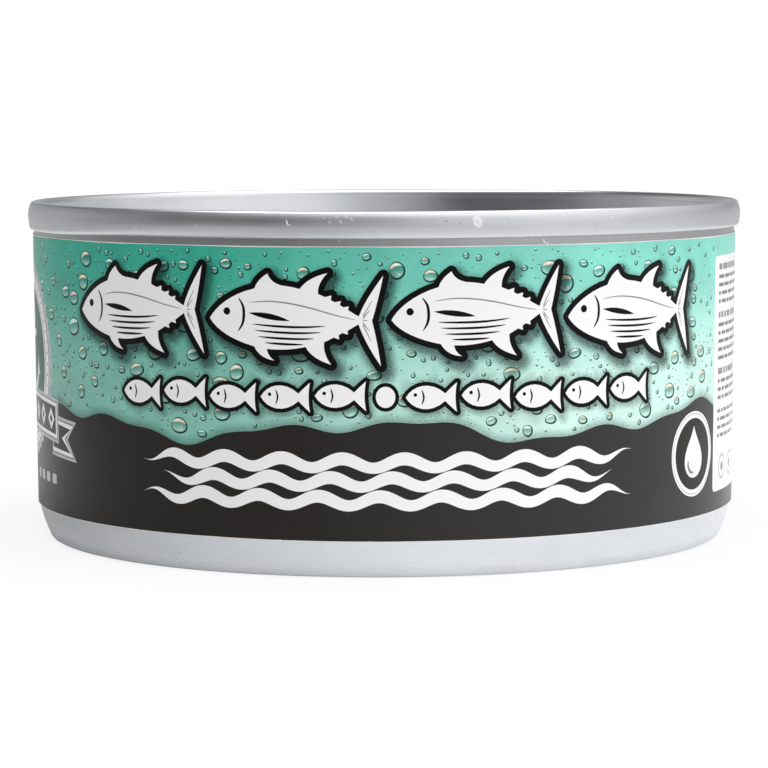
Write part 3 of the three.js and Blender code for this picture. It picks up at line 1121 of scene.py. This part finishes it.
def round_coords(t, radius=0.043):
    """(distance round the can, height, radius) in metres, from the piece's own coordinates."""
    tc = node(t, "ShaderNodeTexCoord")
    sep = node(t, "ShaderNodeSeparateXYZ")
    t.links.new(tc.outputs["Object"], sep.inputs[0])
    ang = math_node(t, "ARCTAN2", sep.outputs[0], math_node(t, "MULTIPLY", sep.outputs[1], -1.0))
    along = math_node(t, "MULTIPLY", ang, radius)
    r = math_node(t, "SQRT", math_node(t, "ADD", math_node(t, "POWER", math_node(t, "ABSOLUTE", sep.outputs[0]), 2.0),
                                       math_node(t, "POWER", math_node(t, "ABSOLUTE", sep.outputs[1]), 2.0)))
    comb = node(t, "ShaderNodeCombineXYZ")
    t.links.new(along, comb.inputs[0])
    t.links.new(sep.outputs[2], comb.inputs[1])
    t.links.new(r, comb.inputs[2])
    return comb.outputs[0], tc.outputs["Object"]


def scaled(t, vec, x, y, z):
    n = node(t, "ShaderNodeVectorMath", operation="MULTIPLY")
    t.links.new(vec, n.inputs[0])
    n.inputs[1].default_value = (x, y, z)
    return n.outputs[0]


def noise(t, vec, scale, detail=2.0, rough=0.5):
    n = node(t, "ShaderNodeTexNoise", Scale=scale, Detail=detail, Roughness=rough)
    t.links.new(vec, n.inputs["Vector"])
    return n.outputs["Fac"]


def ramp(t, fac, stops):
    n = node(t, "ShaderNodeValToRGB")
    el = n.color_ramp.elements
    while len(el) > 1:
        el.remove(el[-1])
    el[0].position, el[0].color = stops[0][0], (*stops[0][1], 1)
    for p, c in stops[1:]:
        e = el.new(p)
        e.color = (*c, 1)
    t.links.new(fac, n.inputs[0])
    return n.outputs["Color"]


def g(x):
    return (x, x, x)


def blot(t, vec, warp, u, z, ru, rz, lean=0.0):
    """Distance from a place on the can, 1 at the edge of an oval there, a little ragged."""
    n = node(t, "ShaderNodeVectorMath", operation="SUBTRACT")
    t.links.new(vec, n.inputs[0])
    n.inputs[1].default_value = (u * MM, z * MM, 0)
    sep = node(t, "ShaderNodeSeparateXYZ")
    t.links.new(n.outputs[0], sep.inputs[0])
    side = math_node(t, "ADD", sep.outputs[0], math_node(t, "MULTIPLY", sep.outputs[1], lean))
    x = math_node(t, "MULTIPLY", side, 1000.0 / ru)
    y = math_node(t, "MULTIPLY", sep.outputs[1], 1000.0 / rz)
    d = math_node(t, "SQRT", math_node(t, "ADD", math_node(t, "POWER", math_node(t, "ABSOLUTE", x), 2.0),
                                       math_node(t, "POWER", math_node(t, "ABSOLUTE", y), 2.0)))
    return math_node(t, "ADD", d, warp)


def below(t, x, edge, soft):
    """1 where x is under edge, falling to 0 over soft."""
    n = node(t, "ShaderNodeMapRange", interpolation_type="SMOOTHSTEP")
    n.inputs["From Min"].default_value, n.inputs["From Max"].default_value = edge - soft, edge + soft
    n.inputs["To Min"].default_value, n.inputs["To Max"].default_value = 1.0, 0.0
    t.links.new(x, n.inputs["Value"])
    return n.outputs[0]


def marks_on(t, vec, marks):
    """Pale spots and dark pits: (kind, mm round the can, height, half width, half height, lean, strength)."""
    ragged = math_node(t, "MULTIPLY", math_node(t, "SUBTRACT", noise(t, scaled(t, vec, 3600.0, 3600.0, 0.0), 1.0, 3.0, 0.7), 0.5), 1.5)
    pale = pits = None
    for kind, u, z, ru, rz, lean, strength in marks:
        d = blot(t, vec, ragged, u, z, ru, rz, lean)
        m = below(t, d, 0.9, 0.3)
        if kind == "ring":
            m = math_node(t, "SUBTRACT", m, math_node(t, "MULTIPLY", below(t, d, 0.5, 0.3), 0.72))
        m = math_node(t, "MULTIPLY", m, strength)
        if kind == "pit":
            pits = m if pits is None else math_node(t, "MAXIMUM", pits, m)
        else:
            pale = m if pale is None else math_node(t, "MAXIMUM", pale, m)
    return pale, pits


# ---- tinned plate, drawn or rolled: fine lines round the can, faint mottling, small scuffs, and a band of painted shade under the seam
def plate(name, base, rough, scuff, line_strength, outer=0.0, painted_neck_shade=0.0, marks=()):
    m, t, bsdf = material(name)
    vec, obj = round_coords(t)
    # fine drawing lines run round the can
    lines = noise(t, scaled(t, vec, 14.0, 5200.0, 5200.0), 1.0, 3.0, 0.62)
    cloud = noise(t, scaled(t, vec, 160.0, 420.0, 420.0), 1.0, 4.0, 0.6)
    fine = noise(t, scaled(t, vec, 1300.0, 1300.0, 1300.0), 1.0, 2.0, 0.6)
    # scuffs: short bright scratches, rare
    vor = node(t, "ShaderNodeTexVoronoi", Scale=1.0, Randomness=1.0)
    vor.feature = "F1"
    warp = node(t, "ShaderNodeVectorMath", operation="ADD")
    t.links.new(scaled(t, vec, 150.0, 420.0, 420.0), warp.inputs[0])
    nz = node(t, "ShaderNodeTexNoise", Scale=900.0, Detail=2.0)
    t.links.new(obj, nz.inputs["Vector"])
    t.links.new(scaled(t, nz.outputs["Color"], 1.1, 1.1, 1.1), warp.inputs[1])
    t.links.new(warp.outputs[0], vor.inputs["Vector"])
    mark = math_node(t, "MULTIPLY",
                     ramp(t, vor.outputs["Distance"], [(0.0, g(1)), (0.09, g(0.85)), (0.15, g(0))]),
                     ramp(t, noise(t, scaled(t, vec, 60.0, 200.0, 200.0), 1.0, 1.0), [(0.0, g(0)), (0.6, g(0)), (0.66, g(1))]))
    tone = math_node(t, "ADD", math_node(t, "MULTIPLY", math_node(t, "SUBTRACT", cloud, 0.5), 0.16), 1.0)
    col = node(t, "ShaderNodeVectorMath", operation="MULTIPLY")
    col.inputs[0].default_value = base
    t.links.new(tone, col.inputs[1])
    mix = node(t, "ShaderNodeMix", data_type="RGBA")
    t.links.new(math_node(t, "MULTIPLY", mark, scuff), mix.inputs["Factor"])
    t.links.new(col.outputs[0], mix.inputs["A"])
    mix.inputs["B"].default_value = (0.95, 0.95, 0.96, 1)
    tint = mix.outputs["Result"]
    if outer:  # the rolled outside of the seam is duller than the inner wall and the panel
        sep = node(t, "ShaderNodeSeparateXYZ")
        t.links.new(vec, sep.inputs[0])
        side = node(t, "ShaderNodeMapRange", interpolation_type="SMOOTHSTEP")
        side.inputs["From Min"].default_value, side.inputs["From Max"].default_value = 0.0425, 0.0430
        t.links.new(sep.outputs[2], side.inputs["Value"])
        tone_and_shade_mix = node(t, "ShaderNodeMix", data_type="RGBA", blend_type="MULTIPLY")
        t.links.new(side.outputs[0], tone_and_shade_mix.inputs["Factor"])
        t.links.new(tint, tone_and_shade_mix.inputs["A"])
        tone_and_shade_mix.inputs["B"].default_value = (*g(0.87), 1)
        tint = tone_and_shade_mix.outputs["Result"]
        flat_part = node(t, "ShaderNodeMapRange", interpolation_type="SMOOTHSTEP")  # the panel inside the wall is duller too
        for at, value in zip(("From Min", "From Max", "To Min", "To Max"), (0.0383, 0.0396, 1.0, 0.0)):
            flat_part.inputs[at].default_value = value
        t.links.new(sep.outputs[2], flat_part.inputs["Value"])
        tone_and_shade_mix = node(t, "ShaderNodeMix", data_type="RGBA", blend_type="MULTIPLY")
        t.links.new(flat_part.outputs[0], tone_and_shade_mix.inputs["Factor"])
        t.links.new(tint, tone_and_shade_mix.inputs["A"])
        tone_and_shade_mix.inputs["B"].default_value = (*g(0.68), 1)
        tint = tone_and_shade_mix.outputs["Result"]
    if painted_neck_shade:  # the band under the seam is painted darker and a little warm: painted shade under the seam's overhang
        sep = node(t, "ShaderNodeSeparateXYZ")
        t.links.new(vec, sep.inputs[0])
        up = node(t, "ShaderNodeMapRange", interpolation_type="SMOOTHSTEP")
        up.inputs["From Min"].default_value, up.inputs["From Max"].default_value = (LABEL_TOP - 0.5) * MM, (LABEL_TOP - 0.1) * MM
        t.links.new(sep.outputs[1], up.inputs["Value"])
        tone_and_shade_mix = node(t, "ShaderNodeMix", data_type="RGBA", blend_type="MULTIPLY")
        t.links.new(up.outputs[0], tone_and_shade_mix.inputs["Factor"])
        t.links.new(tint, tone_and_shade_mix.inputs["A"])
        # painted shade: the band's colour is multiplied by this factor
        tone_and_shade_mix.inputs["B"].default_value = (painted_neck_shade, painted_neck_shade * 0.965, painted_neck_shade * 0.955, 1)
        tint = tone_and_shade_mix.outputs["Result"]
    pale, pits = marks_on(t, vec, marks)
    for amount, shade in ((pale, (0.86, 0.87, 0.88, 1)), (pits, (0.16, 0.15, 0.15, 1))):
        if amount is not None:
            spot = node(t, "ShaderNodeMix", data_type="RGBA")
            t.links.new(amount, spot.inputs["Factor"])
            t.links.new(tint, spot.inputs["A"])
            spot.inputs["B"].default_value = shade
            tint = spot.outputs["Result"]
    t.links.new(tint, bsdf.inputs["Base Color"])
    bsdf.inputs["Metallic"].default_value = 1.0
    if pale is not None:  # a pale spot is not metal
        t.links.new(math_node(t, "SUBTRACT", 1.0, pale, clamp=True), bsdf.inputs["Metallic"])
    r = math_node(t, "ADD", rough, math_node(t, "MULTIPLY", math_node(t, "SUBTRACT", cloud, 0.5), 0.12))
    if outer:
        r = math_node(t, "ADD", r, math_node(t, "MULTIPLY", side.outputs[0], outer))
    r = math_node(t, "ADD", r, math_node(t, "MULTIPLY", math_node(t, "SUBTRACT", lines, 0.5), 0.1))
    r = math_node(t, "ADD", r, math_node(t, "MULTIPLY", mark, 0.3 * scuff), clamp=True)
    t.links.new(r, bsdf.inputs["Roughness"])
    h = math_node(t, "ADD", math_node(t, "MULTIPLY", lines, 0.55), math_node(t, "MULTIPLY", fine, 0.25))
    h = math_node(t, "ADD", h, math_node(t, "MULTIPLY", cloud, 1.6))
    h = math_node(t, "ADD", h, math_node(t, "MULTIPLY", mark, 0.8))
    bump = node(t, "ShaderNodeBump", Strength=line_strength, Distance=0.00002)
    t.links.new(h, bump.inputs["Height"])
    t.links.new(bump.outputs[0], bsdf.inputs["Normal"])
    return m


TOP = HEIGHT
end_marks = [
    ("ring", 10.25, TOP - 1.15, 0.52, 0.66, 0.1, 0.95), ("dot", 10.35, TOP - 0.95, 0.2, 0.3, 0.5, 0.7),
    ("dot", -10.62, TOP - 1.25, 0.1, 0.34, 0.3, 0.9), ("dot", -10.4, TOP - 1.5, 0.2, 0.07, 0.8, 0.8),
    ("dot", -6.6, TOP - 0.75, 0.14, 0.12, 0.6, 0.35), ("dot", -5.9, TOP - 1.2, 0.16, 0.2, 0.4, 0.3),
    ("dot", -5.2, TOP - 0.6, 0.2, 0.12, 0.7, 0.35), ("dot", -4.7, TOP - 1.15, 0.08, 0.26, 0.4, 0.65),
    ("dot", -4.1, TOP - 0.65, 0.14, 0.16, 0.5, 0.5), ("dot", -3.5, TOP - 0.85, 0.14, 0.18, 0.6, 0.5),
    ("dot", -2.7, TOP - 0.4, 0.2, 0.14, 0.7, 0.45), ("dot", -7.4, TOP - 1.3, 0.1, 0.1, 0.0, 0.3),
    ("dot", 13.4, TOP - 1.5, 0.07, 0.36, 0.7, 0.6), ("dot", 20.5, TOP - 0.7, 0.16, 0.14, 0.3, 0.4),
    ("dot", 27.0, TOP - 1.0, 0.2, 0.16, 0.2, 0.35), ("dot", -21.5, TOP - 1.7, 0.3, 0.12, 0.6, 0.35),
    ("dot", 55.0, TOP - 1.1, 0.1, 0.3, 0.5, 0.7), ("ring", -62.0, TOP - 1.3, 0.4, 0.5, 0.0, 0.7),
    ("dot", 88.0, TOP - 1.6, 0.25, 0.12, 0.4, 0.6), ("dot", -96.0, TOP - 0.9, 0.1, 0.3, 0.4, 0.7),
    ("pit", 6.75, TOP - 1.1, 0.14, 0.09, 0.2, 0.7), ("pit", 8.2, TOP - 1.4, 0.09, 0.09, 0.0, 0.85),
    ("pit", -31.0, TOP - 2.1, 0.35, 0.1, 0.5, 0.3), ("pit", -29.4, TOP - 2.0, 0.3, 0.09, 0.4, 0.35),
    ("pit", 24.8, TOP - 1.9, 0.09, 0.08, 0.0, 0.6), ("pit", -14.0, TOP - 1.6, 0.07, 0.07, 0.0, 0.4),
]
body_marks = [
    ("dot", 18.3, LABEL_TOP + 0.35, 0.1, 0.3, 0.5, 0.85), ("dot", 18.7, LABEL_TOP + 0.14, 0.26, 0.08, 0.0, 0.8),
    ("dot", -5.0, LABEL_TOP + 0.6, 0.16, 0.08, 0.0, 0.3), ("dot", -9.5, LABEL_TOP + 0.3, 0.2, 0.07, 0.0, 0.25),
    ("pit", 7.8, LABEL_TOP + 0.65, 0.18, 0.06, 0.0, 0.4),
    ("pit", 12.0, 2.6, 0.1, 0.08, 0.0, 0.4), ("pit", -25.3, 2.0, 0.16, 0.1, 0.3, 0.35), ("dot", 31.0, 3.0, 0.3, 0.07, 0.4, 0.25),
]
# the body's 0.6 paints the band under the seam darker, as shade under the seam's overhang
body_metal = plate("drawn_plate", (0.69, 0.712, 0.742), 0.26, 0.0, 0.07, 0.0, 0.6, body_marks)
end_metal = plate("rolled_plate", (0.683, 0.702, 0.731), 0.22, 0.9, 0.16, 0.12, 0.0, end_marks)

# ---- printed paper, coated
paper, t, bsdf = material("printed_paper")
vec, obj = round_coords(t)
ink_node = node(t, "ShaderNodeAttribute", attribute_name="ink", attribute_type="GEOMETRY")
cloud_a = noise(t, scaled(t, vec, 95.0, 140.0, 30.0), 1.0, 4.0, 0.6)
cloud_b = noise(t, scaled(t, vec, 420.0, 520.0, 100.0), 1.0, 3.0, 0.6)
grain = noise(t, scaled(t, vec, 6500.0, 6500.0, 900.0), 1.0, 2.0, 0.7)
amount = ink_node.outputs["Alpha"]
tone = math_node(t, "ADD", math_node(t, "MULTIPLY", math_node(t, "SUBTRACT", cloud_a, 0.5), 0.55),
                 math_node(t, "ADD", math_node(t, "MULTIPLY", math_node(t, "SUBTRACT", cloud_b, 0.5), 0.28),
                           math_node(t, "MULTIPLY", math_node(t, "SUBTRACT", grain, 0.5), 0.12)))
tone = math_node(t, "ADD", math_node(t, "MULTIPLY", tone, amount), 1.0)
mul = node(t, "ShaderNodeVectorMath", operation="MULTIPLY")
t.links.new(ink_node.outputs["Color"], mul.inputs[0])
t.links.new(tone, mul.inputs[1])
# the printed shadow is a spray of fine dots
shade_node = node(t, "ShaderNodeAttribute", attribute_name="soft_shade", attribute_type="GEOMETRY")
shade_fac = shade_node.outputs["Fac"]
spray = noise(t, scaled(t, vec, 7200.0, 7200.0, 600.0), 1.0, 1.0, 0.5)
loose = math_node(t, "MULTIPLY", math_node(t, "MULTIPLY", shade_fac, math_node(t, "SUBTRACT", 1.0, shade_fac)), 2.6)
dots = math_node(t, "ADD", shade_fac, math_node(t, "MULTIPLY", math_node(t, "SUBTRACT", spray, 0.5), loose), clamp=True)
printed = node(t, "ShaderNodeMix", data_type="RGBA")
t.links.new(dots, printed.inputs["Factor"])
t.links.new(mul.outputs[0], printed.inputs["A"])
printed.inputs["B"].default_value = (*srgb(8, 30, 28), 1)
t.links.new(printed.outputs["Result"], bsdf.inputs["Base Color"])
bsdf.inputs["IOR"].default_value = 1.23
bsdf.inputs["Sheen Weight"].default_value = 0.02
bsdf.inputs["Sheen Roughness"].default_value = 0.45
t.links.new(math_node(t, "ADD", 0.3, math_node(t, "MULTIPLY", math_node(t, "SUBTRACT", cloud_b, 0.5), 0.12)), bsdf.inputs["Roughness"])
bump = node(t, "ShaderNodeBump", Strength=0.25, Distance=0.00002)
t.links.new(math_node(t, "ADD", math_node(t, "MULTIPLY", cloud_a, 3.0), math_node(t, "MULTIPLY", grain, 0.25)), bump.inputs["Height"])
t.links.new(bump.outputs[0], bsdf.inputs["Normal"])

body.data.materials.append(body_metal)
end.data.materials.append(end_metal)
label.data.materials.append(paper)

for piece, cad, slot in ((body, "can_body", "body_plate"), (end, "lid", "end_plate"), (label, "label", "label_paper")):
    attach(piece, "root")
    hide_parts(cad)

# =========================================================================== floor, light, camera
floor_mesh = bpy.data.meshes.new("floor")
n = 96
fv = [(0, 0, 0)] + [(3.0 * math.cos(2 * math.pi * i / n), 3.0 * math.sin(2 * math.pi * i / n), 0) for i in range(n)]
floor_mesh.from_pydata(fv, [], [[0, 1 + i, 1 + (i + 1) % n] for i in range(n)])
floor = bpy.data.objects.new("floor", floor_mesh)
bpy.context.scene.collection.objects.link(floor)
fm, t, bsdf = material("pale_floor")
bsdf.inputs["Base Color"].default_value = (0.88, 0.88, 0.88, 1)
bsdf.inputs["Roughness"].default_value = 0.9
bsdf.inputs["Specular IOR Level"].default_value = 0.1
# the white floor is only as large as a studio table: further out, reflections see the room instead
tc = node(t, "ShaderNodeTexCoord")
length = node(t, "ShaderNodeVectorMath", operation="LENGTH")
t.links.new(tc.outputs["Object"], length.inputs[0])
far = node(t, "ShaderNodeMapRange", interpolation_type="SMOOTHSTEP")
far.inputs["From Min"].default_value, far.inputs["From Max"].default_value = 0.13, 0.24
t.links.new(length.outputs["Value"], far.inputs["Value"])
rays = node(t, "ShaderNodeLightPath")
away = math_node(t, "MULTIPLY", far.outputs[0], math_node(t, "SUBTRACT", 1.0, rays.outputs["Is Camera Ray"]))
clear = node(t, "ShaderNodeBsdfTransparent")
glow = node(t, "ShaderNodeEmission", Strength=1.0)
where = node(t, "ShaderNodeSeparateXYZ")
t.links.new(tc.outputs["Object"], where.inputs[0])
lit = None
# the table's glow is painted light: it glows most at the right, where the light comes from, again a little far out at
# the left, and not under the can, where a painted shadow lies
for source, key, values in ((where.outputs[0], "ADD", (-0.05, 0.008, 0.0, 1.22)), (where.outputs[0], "ADD", (-0.055, -0.095, 0.0, 1.05)),
                            (length.outputs["Value"], "MULTIPLY", (0.036, 0.0425, 0.0, 1.0))):
    span = node(t, "ShaderNodeMapRange")
    for at, value in zip(("From Min", "From Max", "To Min", "To Max"), values):
        span.inputs[at].default_value = value
    t.links.new(source, span.inputs["Value"])
    lit = span.outputs[0] if lit is None else math_node(t, key, lit, span.outputs[0])
eye = rays.outputs["Is Camera Ray"]
t.links.new(math_node(t, "ADD", eye, math_node(t, "MULTIPLY", math_node(t, "SUBTRACT", 1.0, eye), lit)), glow.inputs["Strength"])
pale_mix = node(t, "ShaderNodeMixShader")
t.links.new(math_node(t, "ADD", math_node(t, "MULTIPLY", eye, 0.4), 0.4), pale_mix.inputs[0])
t.links.new(bsdf.outputs[0], pale_mix.inputs[1])
t.links.new(glow.outputs[0], pale_mix.inputs[2])
blend = node(t, "ShaderNodeMixShader")
t.links.new(away, blend.inputs[0])
t.links.new(pale_mix.outputs[0], blend.inputs[1])
t.links.new(clear.outputs[0], blend.inputs[2])
t.links.new(blend.outputs[0], [n for n in t.nodes if n.bl_idname == "ShaderNodeOutputMaterial"][0].inputs[0])
floor.data.materials.append(fm)

# The studio: soft boxes in tiers round the can. Each tier has its heights (in degrees: none, full, full, none)
# and its levels at even steps round the can, from behind it by its left, front and right.
STUDIO = (
    ((-999, -998, -3, 10), (0.6, 0.57, 0.34, 0.44, 0.57, 0.88, 0.93, 0.72)),
    ((-3, 10, 10, 28), (0.42, 0.42, 0.6, 0.36, 0.12, 0.07, 0.58, 1.07, 1.08, 0.9, 0.64, 0.32)),
    ((10, 28, 28, 48), (0.27, 0.14, 0.2, 0.27, 0.17, 0.17, 0.38, 0.86, 1.26, 1.26, 0.94, 0.5)),
    ((28, 48, 48, 66), (0.38, 0.1, 0.12, 0.5, 1.2, 1.76, 1.7, 0.98)),
    ((48, 64, 64, 78), (1.5, 3.5, 4.8, 4.2, 4.0, 3.1)),
    ((64, 78, 998, 999), (0.95, 0.95)),
)
world = bpy.data.worlds.new("studio")
bpy.context.scene.world = world
world.use_nodes = True
t = world.node_tree
t.nodes.clear()
out = node(t, "ShaderNodeOutputWorld")
tc = node(t, "ShaderNodeTexCoord")
sep = node(t, "ShaderNodeSeparateXYZ")
t.links.new(tc.outputs["Generated"], sep.inputs[0])
azimuth = math_node(t, "MULTIPLY", math_node(t, "ARCTAN2", sep.outputs[0], math_node(t, "MULTIPLY", sep.outputs[1], -1.0)), 180 / math.pi)
height = math_node(t, "MULTIPLY", math_node(t, "ARCSINE", sep.outputs[2]), 180 / math.pi)


def window(x, a, b, c, d):
    """0 below a, rises to 1 at b, stays to c, falls to 0 at d."""
    up = node(t, "ShaderNodeMapRange", interpolation_type="SMOOTHSTEP")
    up.inputs["From Min"].default_value, up.inputs["From Max"].default_value = a, b
    t.links.new(x, up.inputs["Value"])
    down = node(t, "ShaderNodeMapRange", interpolation_type="SMOOTHSTEP")
    down.inputs["From Min"].default_value, down.inputs["From Max"].default_value = c, d
    down.inputs["To Min"].default_value, down.inputs["To Max"].default_value = 1.0, 0.0
    t.links.new(x, down.inputs["Value"])
    return math_node(t, "MULTIPLY", up.outputs[0], down.outputs[0])


def build_sky(tiers):
    turn = math_node(t, "ADD", math_node(t, "MULTIPLY", azimuth, 1 / 360.0), 0.5, clamp=True)
    level = None
    for heights, levels in tiers:
        n = node(t, "ShaderNodeValToRGB")
        n.color_ramp.interpolation = "EASE"
        el = n.color_ramp.elements
        while len(el) > 1:
            el.remove(el[-1])
        top = max(levels)
        for k in range(len(levels) + 1):
            e = el[0] if k == 0 else el.new(k / len(levels))
            e.position = k / len(levels)
            e.color = (*g(levels[k % len(levels)] / top), 1)
        t.links.new(turn, n.inputs[0])
        part = math_node(t, "MULTIPLY", math_node(t, "MULTIPLY", n.outputs["Color"], top), window(height, *heights))
        level = part if level is None else math_node(t, "ADD", level, part)
    return level


light = node(t, "ShaderNodeBackground")
t.links.new(build_sky(STUDIO), light.inputs["Strength"])
light.inputs["Color"].default_value = (1.0, 1.0, 1.0, 1)
seen = node(t, "ShaderNodeBackground", Strength=1.0)
seen.inputs["Color"].default_value = (1, 1, 1, 1)
path_node = node(t, "ShaderNodeLightPath")
mixer = node(t, "ShaderNodeMixShader")
t.links.new(path_node.outputs["Is Camera Ray"], mixer.inputs[0])
t.links.new(light.outputs[0], mixer.inputs[1])
t.links.new(seen.outputs[0], mixer.inputs[2])
t.links.new(mixer.outputs[0], out.inputs[0])

scene = bpy.context.scene
scene.view_settings.view_transform = "Standard"
scene.view_settings.look = "None"
scene.view_settings.exposure = 0.0

# The camera stands where the outline of the can says: a long lens, just above the seam.
cam_data = bpy.data.cameras.new("camera")
cam_data.sensor_width = 36.0
cam_data.lens = 3104.84 / 768 * 36.0
cam_data.clip_start, cam_data.clip_end = 0.01, 50.0
cam = bpy.data.objects.new("camera", cam_data)
scene.collection.objects.link(cam)
CAM_D, CAM_H, PITCH, ROLL = 383.19, 11.91, 0.0906, 0.0031
cam.matrix_world = (
    Matrix.Translation((-0.00007, -CAM_D * MM, (HEIGHT + CAM_H) * MM))
    @ Matrix.Rotation(math.pi / 2 - PITCH, 4, "X")
    @ Matrix.Rotation(-ROLL, 4, "Z")
)
scene.camera = cam
